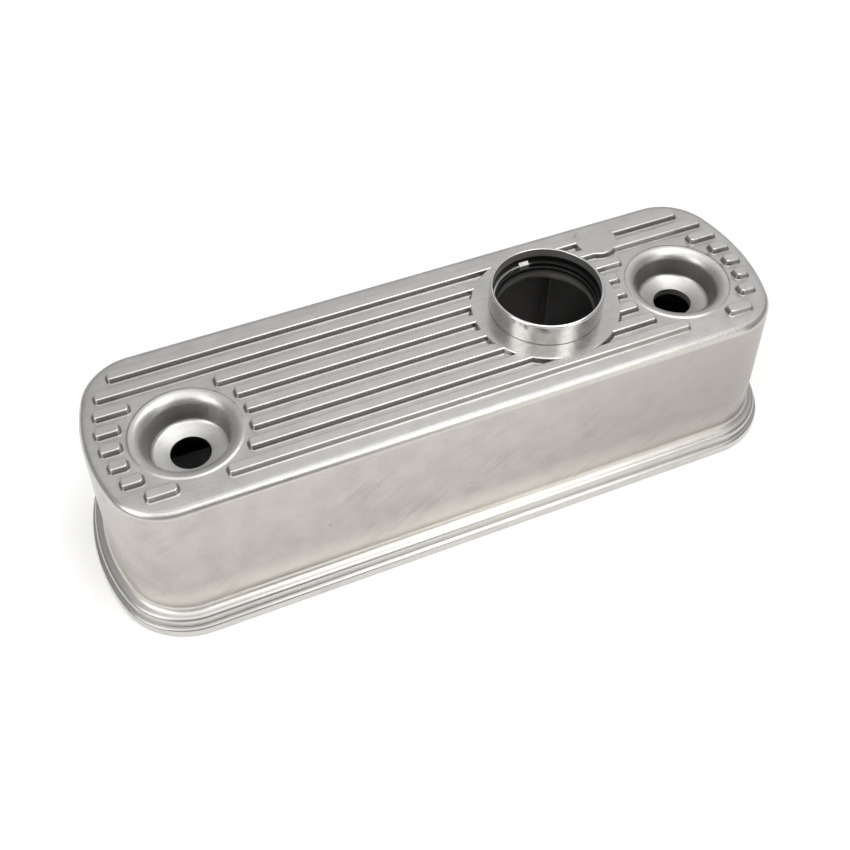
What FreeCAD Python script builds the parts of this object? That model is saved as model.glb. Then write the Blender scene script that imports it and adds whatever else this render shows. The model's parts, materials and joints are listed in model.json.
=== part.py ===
import FreeCAD, Part
import math
import os

import Sketcher

# Finned cast rocker (valve) cover of a small four-cylinder engine, with a turned oil filler neck.
# Frame: origin at the middle of the bottom (gasket) face, +X along the cover towards the filler
# neck end, +Y across it, +Z up.  Millimetres.

DIMENSIONS = [
    # outline of the outer wall where it meets the top face
    ("half_length", 144.7, "middle of the cover to the crown of its bowed end"),
    ("half_width", 42.2, "middle of the cover to the long wall"),
    ("corner_radius", 23.7, "plan radius of the four corners"),
    ("end_radius", 83.2, "plan radius of the bowed end walls"),
    # heights above the gasket face
    ("lip_height", 4.5, "thickness of the bottom lip"),
    ("step_height", 5.0, "height of the step that stands on the lip"),
    ("deck_height", 70.5, "top face between the ribs"),
    ("rib_height", 2.5, "ribs and pads above the deck"),
    # flange, wall and cavity
    ("lip_overhang", 8.8, "lip beyond the top outline"),
    ("step_overhang", 7.0, "step beyond the top outline"),
    ("wall_draft", 2.3, "draft of the outer wall, degrees"),
    ("wall_thickness", 4.0, "casting wall"),
    ("roof_thickness", 3.0, "casting thickness under the deck"),
    ("shoulder_radius", 3.8, "rounding between wall and deck"),
    ("foot_radius", 3.0, "concave rounding where the wall meets the step"),
    ("step_rounding", 1.0, "rounding of the edge of the step"),
    ("lip_rounding", 0.6, "rounding of the upper edge of the lip"),
    ("cavity_rounding", 3.0, "rounding inside, between wall and roof"),
    # long ribs and the short ones beyond the stud wells
    ("rib_pitch", 8.89, "spacing of the ribs, 0.35 in"),
    ("rib_base", 5.3, "width of a rib at the deck"),
    ("rib_draft", 10.0, "draft of the rib sides, degrees"),
    ("rib_corner", 1.7, "plan radius of the rib ends"),
    ("rib_inset", 5.3, "outer rib ends to the outline"),
    ("clear_radius", 24.0, "rib-free circle round a stud well"),
    # stud wells
    ("left_well_x", -106.6, "stud well away from the filler neck"),
    ("right_well_x", 107.8, "stud well at the filler neck end"),
    ("well_y", -6.35, "both wells lie this far off the middle line"),
    ("stud_radius", 7.94, "stud hole, 5/8 in across"),
    ("seat_radius", 14.9, "outer edge of the dished seat"),
    ("seat_height", 59.7, "height of the outer edge of the seat"),
    ("seat_dish", 1.6, "fall of the seat towards the hole"),
    ("rim_radius", 17.6, "well radius at the deck"),
    ("rim_rounding", 5.0, "rolled mouth of a well"),
    ("bowl_rounding", 2.0, "rounding between well wall and seat"),
    ("collar_radius", 21.9, "raised collar round the mouth of a well"),
    ("collar_height", 0.35, "height of that collar"),
    ("boss_wall", 3.2, "thickness of the well casting below the roof"),
    # filler neck and its pad
    ("neck_x", 48.6, "middle of the filler neck"),
    ("neck_y", 0.6, "middle of the filler neck"),
    ("neck_height", 10.2, "neck above its pad"),
    ("neck_radius", 23.6, "outside of the neck"),
    ("bore_radius", 22.25, "bayonet bore, 1 3/4 in across"),
    ("lip_radius", 21.1, "bore just below the bayonet ledge"),
    ("throat_radius", 20.4, "narrowest bore, down to the end of the neck"),
    ("spigot_radius", 22.9, "part of the neck pressed into the casting"),
    ("spigot_depth", 4.5, "depth of the spigot below the pad"),
    ("seat_lip", 1.0, "casting lip that the spigot bottoms on"),
    ("ledge_height", 3.6, "bayonet ledge above the pad"),
    ("throat_height", 1.6, "top of the narrowest bore above the pad"),
    ("rim_chamfer", 0.5, "chamfers of the neck's mouth"),
    ("stop_width", 12.0, "angle taken by a bayonet stop, degrees"),
    ("stop_angle", 89.5, "direction of the first bayonet stop, degrees"),
    ("stop_height", 3.1, "height of a bayonet stop"),
    ("stop_inset", 0.4, "inner face of a bayonet stop behind the throat"),
    ("pad_radius", 31.4, "pad round the neck, at the deck"),
    ("badge_x", 86.9, "blank round pad"),
    ("badge_y", 27.8, "blank round pad"),
    ("badge_radius", 9.6, "blank round pad, at the deck"),
    # stiffening rib inside the back wall
    ("web_x", 70.7, "middle of the inner rib"),
    ("web_width", 2.0, "thickness of the inner rib"),
    ("web_depth", 4.5, "inner rib beyond the inside of the wall, at the roof"),
    ("web_bite", 0.5, "overlap of the inner rib with the roof"),
]
LONG_RIBS = 8

doc = FreeCAD.newDocument("rocker_cover")
sheet = doc.addObject("Spreadsheet::Sheet", "dims")


def fill_sheet():
    for row, (alias, value, meaning) in enumerate(DIMENSIONS, start=1):
        sheet.set("A%d" % row, alias)
        sheet.set("B%d" % row, str(value))
        sheet.set("C%d" % row, meaning)
        sheet.setAlias("B%d" % row, alias)
    doc.recompute()


def value(expression):
    """Number that an expression of the sheet's names has now."""
    result = sheet.evalExpression(expression)
    return float(getattr(result, "Value", result))


def dim(name):
    return "dims." + name


def origin_plane(body, role):
    return next(item for item in body.Origin.OriginFeatures if item.Role == role)


def new_sketch(body, name, role, offset=("0", "0", "0")):
    """Sketch on one of the body's origin planes, moved by three expressions in its own axes."""
    sketch = body.newObject("Sketcher::SketchObject", name)
    sketch.AttachmentSupport = [(origin_plane(body, role), "")]
    sketch.MapMode = "FlatFace"
    for axis, expression in zip("xyz", offset):
        if expression != "0":
            sketch.setExpression("AttachmentOffset.Base." + axis, expression)
    return sketch


def bind(sketch, kind, where, expression):
    """Add one driving constraint and bind it to the sheet."""
    index = sketch.addConstraint(Sketcher.Constraint(kind, *where, value(expression)))
    sketch.setExpression("Constraints[%d]" % index, expression)


def place_vertex(sketch, geometry, point, across, up):
    """Hold a vertex at (across, up); a zero puts it on the sketch's own axis."""
    origin = (-1, 1)
    if abs(value(across)) < 1e-9:
        sketch.addConstraint(Sketcher.Constraint("PointOnObject", geometry, point, -2))
    else:
        bind(sketch, "DistanceX", origin + (geometry, point), across)
    if abs(value(up)) < 1e-9:
        sketch.addConstraint(Sketcher.Constraint("PointOnObject", geometry, point, -1))
    else:
        bind(sketch, "DistanceY", origin + (geometry, point), up)


def draw_polygon(sketch, corners):
    """Closed polygon through corners given as pairs of expressions."""
    points = [FreeCAD.Vector(value(across), value(up), 0) for across, up in corners]
    count = len(points)
    for index in range(count):
        sketch.addGeometry(Part.LineSegment(points[index], points[(index + 1) % count]), False)
    for index in range(count):
        sketch.addConstraint(Sketcher.Constraint("Coincident", index, 2, (index + 1) % count, 1))
        place_vertex(sketch, index, 1, *corners[index])


def draw_circle(sketch, across, up, radius):
    centre = FreeCAD.Vector(value(across), value(up), 0)
    circle = sketch.addGeometry(Part.Circle(centre, FreeCAD.Vector(0, 0, 1), value(radius)), False)
    place_vertex(sketch, circle, 3, across, up)
    bind(sketch, "Radius", (circle,), radius)


def arc(centre, radius, start, end):
    circle = Part.Circle(centre, FreeCAD.Vector(0, 0, 1), radius)
    return Part.ArcOfCircle(circle, start, end)


def draw_outline(sketch, offset):
    """The cover's plan outline moved outwards by an expression: straight long sides, round
    corners and bowed ends, every joint tangent."""
    grown = "(" + offset + ")"
    wide = value(dim("half_width") + "+" + grown)
    corner = value(dim("corner_radius") + "+" + grown)
    bow = value(dim("end_radius") + "+" + grown)
    bow_x = value("dims.half_length - dims.end_radius")
    corner_y = wide - corner
    reach = bow - corner
    corner_x = bow_x + math.sqrt(reach ** 2 - corner_y ** 2)
    turn = math.asin(corner_y / reach)
    half_turn = math.pi / 2
    right, left = FreeCAD.Vector(bow_x, 0, 0), FreeCAD.Vector(-bow_x, 0, 0)

    def corner_arc(side_x, side_y, start, end):
        centre = FreeCAD.Vector(side_x * corner_x, side_y * corner_y, 0)
        return arc(centre, corner, start, end)

    def straight(side_y):
        ends = [FreeCAD.Vector(side_x * corner_x, side_y * wide, 0) for side_x in (side_y, -side_y)]
        return Part.LineSegment(*ends)

    # counter-clockwise from the back edge: every element ends where the next one starts
    pieces = [
        straight(1),
        corner_arc(-1, 1, half_turn, math.pi - turn),
        arc(left, bow, math.pi - turn, math.pi + turn),
        corner_arc(-1, -1, math.pi + turn, 3 * half_turn),
        straight(-1),
        corner_arc(1, -1, 3 * half_turn, 2 * math.pi - turn),
        arc(right, bow, -turn, turn),
        corner_arc(1, 1, turn, half_turn),
    ]
    sketch.addGeometry(pieces, False)
    for index in range(len(pieces)):
        following = (index + 1) % len(pieces)
        sketch.addConstraint(Sketcher.Constraint("Tangent", index, 2, following, 1))
    for line in (0, 4):
        sketch.addConstraint(Sketcher.Constraint("Horizontal", line))
    for index in (1, 3, 5, 7):
        bind(sketch, "Radius", (index,), dim("corner_radius") + "+" + grown)
    for index in (2, 6):
        bind(sketch, "Radius", (index,), dim("end_radius") + "+" + grown)
        sketch.addConstraint(Sketcher.Constraint("PointOnObject", index, 3, -1))
    bind(sketch, "DistanceY", (-1, 1, 0, 1), dim("half_width") + "+" + grown)
    bind(sketch, "DistanceY", (4, 1, -1, 1), dim("half_width") + "+" + grown)
    bind(sketch, "DistanceX", (-1, 1, 6, 3), "dims.half_length - dims.end_radius")
    bind(sketch, "DistanceX", (2, 3, -1, 1), "dims.half_length - dims.end_radius")


def draw_bar(sketch, start, end, middle, width, corner):
    """Rectangle with round corners along X, from start to end, every argument an expression."""
    low, high = value(start), value(end)
    bottom = value("(%s) - (%s) / 2" % (middle, width))
    top = value("(%s) + (%s) / 2" % (middle, width))
    radius = value(corner)
    quarter = math.pi / 2
    first = sketch.GeometryCount
    inner = [(high - radius, bottom + radius), (high - radius, top - radius),
             (low + radius, top - radius), (low + radius, bottom + radius)]
    centres = [FreeCAD.Vector(x, y, 0) for x, y in inner]
    starts = [(low + radius, bottom), (high, bottom + radius), (high - radius, top), (low, top - radius)]
    ends = [(high - radius, bottom), (high, top - radius), (low + radius, top), (low, bottom + radius)]
    pieces = []
    for index in range(4):
        pieces.append(Part.LineSegment(FreeCAD.Vector(*starts[index], 0), FreeCAD.Vector(*ends[index], 0)))
        turn = (index - 1) * quarter
        pieces.append(arc(centres[index], radius, turn, turn + quarter))
    sketch.addGeometry(pieces, False)
    for index in range(8):
        following = first + (index + 1) % 8
        sketch.addConstraint(Sketcher.Constraint("Tangent", first + index, 2, following, 1))
    for index in (0, 4):
        sketch.addConstraint(Sketcher.Constraint("Horizontal", first + index))
    for index in (2, 6):
        sketch.addConstraint(Sketcher.Constraint("Vertical", first + index))
    for index in (3, 5, 7):
        sketch.addConstraint(Sketcher.Constraint("Equal", first + 1, first + index))
    bind(sketch, "Radius", (first + 1,), corner)
    bind(sketch, "DistanceX", (-1, 1, first + 6, 1), start)
    bind(sketch, "DistanceX", (-1, 1, first + 2, 1), end)
    bind(sketch, "DistanceY", (-1, 1, first, 1), "(%s) - (%s) / 2" % (middle, width))
    bind(sketch, "DistanceY", (-1, 1, first + 4, 1), "(%s) + (%s) / 2" % (middle, width))


def pad(body, name, sketch, length, draft=None, upwards=True):
    feature = body.newObject("PartDesign::Pad", name)
    feature.Profile = sketch
    feature.Reversed = not upwards
    feature.setExpression("Length", length)
    if draft:
        feature.setExpression("TaperAngle", "-1 * (" + draft + ")")
    doc.recompute()
    return feature


def cut(body, kind, name, sketch, setup):
    """Pocket or Groove that has to take material away."""
    before = body.Shape.Volume
    feature = body.newObject(kind, name)
    feature.Profile = sketch
    setup(feature)
    doc.recompute()
    if body.Shape.Volume > before - 1.0:
        raise RuntimeError(name + " cuts nothing")
    return feature


def revolve(feature, sketch):
    feature.ReferenceAxis = (sketch, ["V_Axis"])
    feature.Angle = 360


def round_edges(body, name, radius, chosen):
    """Fillet of every edge of the body that chosen() accepts."""
    names = []
    for index, edge in enumerate(body.Shape.Edges, start=1):
        if chosen(edge):
            names.append("Edge%d" % index)
    if not names:
        raise RuntimeError(name + " finds no edge")
    base = body.Tip
    feature = body.newObject("PartDesign::Fillet", name)
    feature.Base = (base, names)
    feature.setExpression("Radius", radius)
    doc.recompute()
    return feature


def level(edge, height):
    box = edge.BoundBox
    return abs(box.ZMin - value(height)) < 1e-4 and abs(box.ZMax - value(height)) < 1e-4


def circle_at(edge, radius, height):
    return level(edge, height) and hasattr(edge.Curve, "Radius") and \
        abs(edge.Curve.Radius - value(radius)) < 1e-4


# ---------------------------------------------------------------- casting

FLANGE_TOP = "(dims.lip_height + dims.step_height)"
WALL_FOOT = "((dims.deck_height - " + FLANGE_TOP + ") * tan(dims.wall_draft * 1 deg))"
ROOF = "(dims.deck_height - dims.roof_thickness)"
PAD_TOP = "(dims.deck_height + dims.rib_height)"
CAVITY_FOOT = "(dims.deck_height * tan(dims.wall_draft * 1 deg) - dims.wall_thickness)"


def cast_shell(body):
    """Stepped flange, drafted wall and the hollow inside."""
    layers = [
        ("lip", "0", dim("lip_overhang"), dim("lip_height"), None),
        ("step", dim("lip_height"), dim("step_overhang"), dim("step_height"), None),
        ("wall", FLANGE_TOP, WALL_FOOT, "dims.deck_height - " + FLANGE_TOP, dim("wall_draft")),
    ]
    for name, height, offset, length, draft in layers:
        sketch = new_sketch(body, name + "_outline", "XY_Plane", ("0", "0", height))
        draw_outline(sketch, offset)
        pad(body, name, sketch, length, draft)

    roundings = [
        ("foot_rounding", dim("foot_radius"), FLANGE_TOP, WALL_FOOT),
        ("step_edge_rounding", dim("step_rounding"), FLANGE_TOP, dim("step_overhang")),
        ("lip_edge_rounding", dim("lip_rounding"), dim("lip_height"), dim("lip_overhang")),
        ("shoulder_rounding", dim("shoulder_radius"), dim("deck_height"), "0"),
    ]
    for name, radius, height, offset in roundings:
        round_edges(body, name, radius, lambda edge: level(edge, height) and follows(edge, offset))

    sketch = new_sketch(body, "cavity_outline", "XY_Plane")
    draw_outline(sketch, CAVITY_FOOT)

    def hollow(feature):
        feature.Reversed = True
        feature.setExpression("Length", ROOF)
        feature.setExpression("TaperAngle", "-1 * dims.wall_draft")

    cut(body, "PartDesign::Pocket", "cavity", sketch, hollow)
    round_edges(body, "cavity_top_rounding", dim("cavity_rounding"), lambda edge: level(edge, ROOF))


def follows(edge, offset):
    """True where both ends of an edge lie on the outline moved outwards by an expression."""
    grown = value(offset)
    corner_y = value("dims.half_width - dims.corner_radius")
    bow_x = value("dims.half_length - dims.end_radius")
    reach = value("dims.end_radius - dims.corner_radius")
    corner_x = bow_x + math.sqrt(reach ** 2 - corner_y ** 2)
    radius = value("dims.corner_radius") + grown
    for vertex in edge.Vertexes:
        beyond_x = max(abs(vertex.X) - corner_x, 0)
        beyond_y = max(abs(vertex.Y) - corner_y, 0)
        if abs(math.hypot(beyond_x, beyond_y) - radius) > 1e-3:
            return False
    return True


def cast_inner_web(body):
    """Upright stiffening rib on the inside of the back wall."""
    sketch = new_sketch(body, "inner_web_outline", "XY_Plane", ("0", "0", FLANGE_TOP))
    inside = "(dims.half_width - dims.wall_thickness)"
    within_wall = "(dims.half_width - dims.wall_thickness / 4)"
    left, right = "dims.web_x - dims.web_width / 2", "dims.web_x + dims.web_width / 2"
    draw_polygon(sketch, [
        (left, inside + " - dims.web_depth"),
        (right, inside + " - dims.web_depth"),
        (right, within_wall),
        (left, within_wall),
    ])
    pad(body, "inner_web", sketch, ROOF + " + dims.web_bite - " + FLANGE_TOP)


SEAT_BOTTOM = "(dims.seat_height - dims.seat_dish)"
BOSS_BOTTOM = "(" + SEAT_BOTTOM + " - dims.boss_wall)"
MOUTH = "(dims.deck_height + dims.collar_height)"
WELL_SLOPE = "((dims.rim_radius - dims.seat_radius) / (dims.deck_height - dims.seat_height))"
MOUTH_RADIUS = "(dims.rim_radius + dims.collar_height * " + WELL_SLOPE + ")"


def well_offset(well_x):
    """Offset that puts an XZ_Plane sketch's own vertical axis on the middle of a well."""
    return (well_x, "0", "-1 * dims.well_y")


def cast_well(body, name, well_x):
    """Dished stud well: a cup that hangs from the roof, then its bowl and stud hole."""
    sketch = new_sketch(body, name + "_cup_profile", "XZ_Plane", well_offset(well_x))
    draw_polygon(sketch, [
        ("0", BOSS_BOTTOM),
        ("dims.seat_radius", BOSS_BOTTOM),
        ("dims.rim_radius + dims.boss_wall", ROOF + " - dims.roof_thickness / 2"),
        ("dims.rim_radius + dims.boss_wall", "dims.deck_height - dims.roof_thickness / 2"),
        ("dims.collar_radius", "dims.deck_height - dims.roof_thickness / 2"),
        ("dims.collar_radius", MOUTH),
        ("0", MOUTH),
    ])
    cup = body.newObject("PartDesign::Revolution", name + "_cup")
    cup.Profile = sketch
    revolve(cup, sketch)
    doc.recompute()

    sketch = new_sketch(body, name + "_bowl_profile", "XZ_Plane", well_offset(well_x))
    draw_polygon(sketch, [
        ("0", BOSS_BOTTOM + " - 1"),
        ("dims.stud_radius", BOSS_BOTTOM + " - 1"),
        ("dims.stud_radius", SEAT_BOTTOM),
        ("dims.seat_radius", "dims.seat_height"),
        (MOUTH_RADIUS, MOUTH),
        (MOUTH_RADIUS, MOUTH + " + 1"),
        ("0", MOUTH + " + 1"),
    ])
    cut(body, "PartDesign::Groove", name + "_bowl", sketch, lambda groove: revolve(groove, sketch))


def cast_ribs(body):
    """Eight long ribs; the front six stop at the wells and go on as short ribs beyond them."""
    crown_x = "(dims.half_length - dims.end_radius)"
    corner_y = "(dims.half_width - dims.corner_radius)"
    corner_x = "(" + crown_x + " + sqrt((dims.end_radius - dims.corner_radius)^2 - " + corner_y + "^2))"
    for index in range(LONG_RIBS):
        step = index - (LONG_RIBS - 1) / 2
        middle = "(%s * dims.rib_pitch)" % step
        outer_y = "(abs" + middle + " + dims.rib_base / 2)"
        if index in (0, LONG_RIBS - 1):
            radius = "(dims.corner_radius - dims.rib_inset)"
            outer = "(%s + sqrt(%s^2 - (%s - %s)^2))" % (corner_x, radius, outer_y, corner_y)
        else:
            radius = "(dims.end_radius - dims.rib_inset)"
            outer = "(%s + sqrt(%s^2 - %s^2))" % (crown_x, radius, outer_y)
        near = "max(abs(%s - dims.well_y) - dims.rib_base / 2; 0)" % middle
        if value(near) < value(dim("clear_radius")):
            gap = "sqrt(dims.clear_radius^2 - (%s)^2)" % near
            spans = [
                ("-1 * " + outer, "dims.left_well_x - " + gap),
                ("dims.left_well_x + " + gap, "dims.right_well_x - " + gap),
                ("dims.right_well_x + " + gap, outer),
            ]
        else:
            spans = [("-1 * " + outer, outer)]
        name = "rib_%d" % (index + 1)
        sketch = new_sketch(body, name + "_outlines", "XY_Plane", ("0", "0", "dims.deck_height"))
        for start, end in spans:
            draw_bar(sketch, start, end, middle, dim("rib_base"), dim("rib_corner"))
        pad(body, name, sketch, dim("rib_height"), dim("rib_draft"))


def cast_round_pad(body, name, centre_x, centre_y, radius):
    sketch = new_sketch(body, name + "_outline", "XY_Plane", ("0", "0", "dims.deck_height"))
    draw_circle(sketch, centre_x, centre_y, radius)
    pad(body, name, sketch, dim("rib_height"), dim("rib_draft"))


def bore_neck_seat(body):
    """Stepped hole that takes the spigot of the filler neck."""
    sketch = new_sketch(body, "neck_seat_profile", "XZ_Plane", ("dims.neck_x", "0", "-1 * dims.neck_y"))
    shelf = "(" + PAD_TOP + " - dims.spigot_depth)"
    draw_polygon(sketch, [
        ("0", ROOF + " - 1"),
        ("dims.spigot_radius - dims.seat_lip", ROOF + " - 1"),
        ("dims.spigot_radius - dims.seat_lip", shelf),
        ("dims.spigot_radius", shelf),
        ("dims.spigot_radius", PAD_TOP + " + 1"),
        ("0", PAD_TOP + " + 1"),
    ])
    cut(body, "PartDesign::Groove", "neck_seat", sketch, lambda groove: revolve(groove, sketch))


def make_casting():
    body = doc.addObject("PartDesign::Body", "cover_casting")
    body.Label = "cover_casting"
    cast_shell(body)
    cast_inner_web(body)
    for name, well_x in (("left_well", dim("left_well_x")), ("right_well", dim("right_well_x"))):
        cast_well(body, name, well_x)
    round_edges(body, "well_mouth_rounding", dim("rim_rounding"),
                lambda edge: circle_at(edge, MOUTH_RADIUS, MOUTH))
    round_edges(body, "well_bowl_rounding", dim("bowl_rounding"),
                lambda edge: circle_at(edge, dim("seat_radius"), dim("seat_height")))
    cast_ribs(body)
    cast_round_pad(body, "neck_pad", dim("neck_x"), dim("neck_y"), dim("pad_radius"))
    cast_round_pad(body, "badge_pad", dim("badge_x"), dim("badge_y"), dim("badge_radius"))
    bore_neck_seat(body)
    return body


# ---------------------------------------------------------------- filler neck

def make_filler_neck():
    """Turned ring pressed into the casting, with the stepped ledge that a bayonet cap grips."""
    body = doc.addObject("PartDesign::Body", "filler_neck")
    body.Label = "filler_neck"
    sketch = new_sketch(body, "neck_profile", "XZ_Plane", ("dims.neck_x", "0", "-1 * dims.neck_y"))
    top = "(" + PAD_TOP + " + dims.neck_height)"
    ledge = "(" + PAD_TOP + " + dims.ledge_height)"
    shelf = "(" + PAD_TOP + " + dims.throat_height)"
    bottom = "(" + PAD_TOP + " - dims.spigot_depth)"
    draw_polygon(sketch, [
        ("dims.throat_radius", bottom),
        ("dims.spigot_radius", bottom),
        ("dims.spigot_radius", PAD_TOP),
        ("dims.neck_radius", PAD_TOP),
        ("dims.neck_radius", top + " - dims.rim_chamfer"),
        ("dims.neck_radius - dims.rim_chamfer", top),
        ("dims.bore_radius + dims.rim_chamfer", top),
        ("dims.bore_radius", top + " - dims.rim_chamfer"),
        ("dims.bore_radius", ledge),
        ("dims.lip_radius", ledge),
        ("dims.lip_radius", shelf),
        ("dims.throat_radius", shelf),
    ])
    ring = body.newObject("PartDesign::Revolution", "neck_ring")
    ring.Profile = sketch
    revolve(ring, sketch)
    doc.recompute()
    return body


def make_bayonet_stops(neck):
    """Two small blocks on the stepped ledge, opposite each other, that end the cap's turn."""
    blocks = []
    for index, name in enumerate(("first", "second")):
        outer = doc.addObject("Part::Cylinder", name + "_stop_outer")
        inner = doc.addObject("Part::Cylinder", name + "_stop_inner")
        radii = ((outer, dim("bore_radius")), (inner, "dims.throat_radius + dims.stop_inset"))
        for piece, radius in radii:
            piece.setExpression("Radius", radius)
            piece.setExpression("Height", dim("stop_height"))
            piece.setExpression("Placement.Base.x", dim("neck_x"))
            piece.setExpression("Placement.Base.y", dim("neck_y"))
            piece.setExpression("Placement.Base.z", PAD_TOP + " + dims.throat_height")
        outer.setExpression("Angle", dim("stop_width"))
        turn = "dims.stop_angle - dims.stop_width / 2 + %d" % (180 * index)
        outer.setExpression("Placement.Rotation.Angle", turn)
        sector = doc.addObject("Part::Cut", name + "_stop_sector")
        sector.Base = outer
        sector.Tool = inner
        block = doc.addObject("Part::Cut", name + "_stop")
        block.Base = sector
        block.Tool = neck
        blocks.append(block)
    stops = doc.addObject("Part::Compound", "bayonet_stops")
    stops.Label = "bayonet_stops"
    stops.Links = blocks
    doc.recompute()
    return stops


def check(item):
    if "Invalid" in item.State or "Error" in item.State:
        raise RuntimeError("%s failed: %s" % (item.Name, item.State))


fill_sheet()
neck = make_filler_neck()
nodes = [make_casting(), neck, make_bayonet_stops(neck)]
doc.recompute()
for item in doc.Objects:
    check(item)
os.makedirs("parts", exist_ok=True)
for node in nodes:
    if node.Shape.isNull() or not node.Shape.isValid():
        raise RuntimeError(node.Label + " has no valid shape")
    box = node.Shape.BoundBox
    print("%-14s solids %d  volume %.0f  x %.1f..%.1f  y %.1f..%.1f  z %.1f..%.1f" % (
        node.Label, len(node.Shape.Solids), node.Shape.Volume,
        box.XMin, box.XMax, box.YMin, box.YMax, box.ZMin, box.ZMax))
    node.Shape.exportStep(os.path.join("parts", node.Label + ".step"))
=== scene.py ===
import json
import math
from types import SimpleNamespace

import bmesh
import bpy
import numpy as np
from mathutils import Matrix, Vector
from mathutils.geometry import delaunay_2d_cdt


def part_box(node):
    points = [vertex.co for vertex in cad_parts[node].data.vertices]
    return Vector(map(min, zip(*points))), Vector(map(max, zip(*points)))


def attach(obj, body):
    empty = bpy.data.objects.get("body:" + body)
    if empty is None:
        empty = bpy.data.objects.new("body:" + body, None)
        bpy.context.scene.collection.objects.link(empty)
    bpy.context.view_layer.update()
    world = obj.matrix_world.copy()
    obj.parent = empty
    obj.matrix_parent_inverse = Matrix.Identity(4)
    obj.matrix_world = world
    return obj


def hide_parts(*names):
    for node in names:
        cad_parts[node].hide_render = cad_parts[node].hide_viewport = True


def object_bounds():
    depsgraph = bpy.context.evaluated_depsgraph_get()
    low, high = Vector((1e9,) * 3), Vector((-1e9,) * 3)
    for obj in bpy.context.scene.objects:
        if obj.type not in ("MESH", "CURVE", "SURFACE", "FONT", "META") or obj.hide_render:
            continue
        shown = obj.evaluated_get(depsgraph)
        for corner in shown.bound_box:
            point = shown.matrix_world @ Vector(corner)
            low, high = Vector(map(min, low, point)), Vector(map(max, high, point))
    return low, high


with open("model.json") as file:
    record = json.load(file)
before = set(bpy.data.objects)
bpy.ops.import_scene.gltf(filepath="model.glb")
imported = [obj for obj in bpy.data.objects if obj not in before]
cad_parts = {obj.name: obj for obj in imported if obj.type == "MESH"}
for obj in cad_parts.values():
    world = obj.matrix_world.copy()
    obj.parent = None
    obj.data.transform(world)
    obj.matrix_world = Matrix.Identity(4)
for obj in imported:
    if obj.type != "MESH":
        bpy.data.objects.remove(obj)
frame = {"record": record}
cad_low, cad_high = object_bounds()

# Sizes are millimetres here, and become metres when a mesh is made.
MM = 0.001


def corner_mm(point):
    return np.array(point) / MM


casting_high = corner_mm(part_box("cover_casting")[1])
neck_low, neck_high = (corner_mm(p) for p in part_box("filler_neck"))
stop_low, stop_high = (corner_mm(p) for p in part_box("bayonet_stops"))
mounts = {mount["name"]: mount for mount in frame["record"]["mounts"]}

# driving dimensions that the frame doesn't state
LIP_OVERHANG, STEP_OVERHANG = 8.8, 7.0
LIP_HEIGHT, FLANGE_TOP = 4.5, 9.5
CORNER_RADIUS, END_RADIUS = 23.7, 83.2
DRAFT = math.tan(math.radians(2.3))
WALL, ROOF_THICKNESS = 4.0, 3.0
RIB_HEIGHT, RIB_PITCH, RIB_BASE, RIB_CORNER, RIB_INSET = 2.5, 8.89, 5.3, 1.7, 5.3
RIB_COUNT = 8
RIB_SLOPE = math.tan(math.radians(10))
CLEAR_RADIUS = 24.0
PAD_RADIUS = 31.4
BADGE_X, BADGE_Y, BADGE_RADIUS = 86.9, 27.8, 9.6
RIM_RADIUS, RIM_ROUNDING, SEAT_RADIUS = 17.6, 5.0, 14.9
COLLAR_RADIUS, COLLAR_HEIGHT = 21.9, 0.35
SEAT_HEIGHT, SEAT_BOTTOM, CUP_BOTTOM = 59.7, 58.1, 54.9
CUP_WALL = 3.2
LIP_RADIUS, LEDGE_HEIGHT, SPIGOT_STEP, SEAT_LIP = 21.1, 3.6, 0.7, 1.0
STOP_ANGLE, STOP_WIDTH, STOP_INSET = math.radians(89.5), math.radians(12), 0.4
STOP_BEVEL, STOP_EDGE = 1.3, 0.25
WEB_X, WEB_WIDTH, WEB_DEPTH, WEB_ROOT, WEB_ROUNDING = 70.7, 2.0, 4.5, 2.5, 0.7

# roundings and small steps of the casting and the neck
BOTTOM_CHAMFER = 0.4
LIP_ROUNDING, LIP_FALL = 1.3, 0.3
STEP_ROUNDING, STEP_FALL = 2.0, 0.35
FOOT_ROUNDING = 3.0
SHOULDER_IN, SHOULDER_ROUNDING, SHOULDER_FALL = -4.4, 3.4, 0.4
CROWN_ROUNDING, CROWN_FALL = 5.0, 0.12
RIB_FOOT, RIB_FOOT_ROUNDING, RIB_EDGE_ROUNDING, RIB_INNER = 1.6, 0.8, 0.65, 2.2
ROOF_ROUNDING, ROOF_MARGIN = 3.0, 3.6
CUP_ROUNDING, CUP_MARGIN = 2.0, 0.7
NECK_ROUNDING, BORE_ROUNDING, NECK_CHAMFER, NECK_LIFT = 0.95, 0.35, 0.35, 0.06
SPIGOT_ROUNDING, LEDGE_ROUNDING, LEDGE_EDGE = 0.2, 0.15, 0.3
SEAT_GAP, HOLE_DEPTH = 0.02, 0.8
SEAT_EDGE, HOLE_EDGE, CUP_EDGE, ROOF_EDGE = 0.35, 0.3, 0.8, 0.5
TOLERANCE = 0.01

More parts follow.
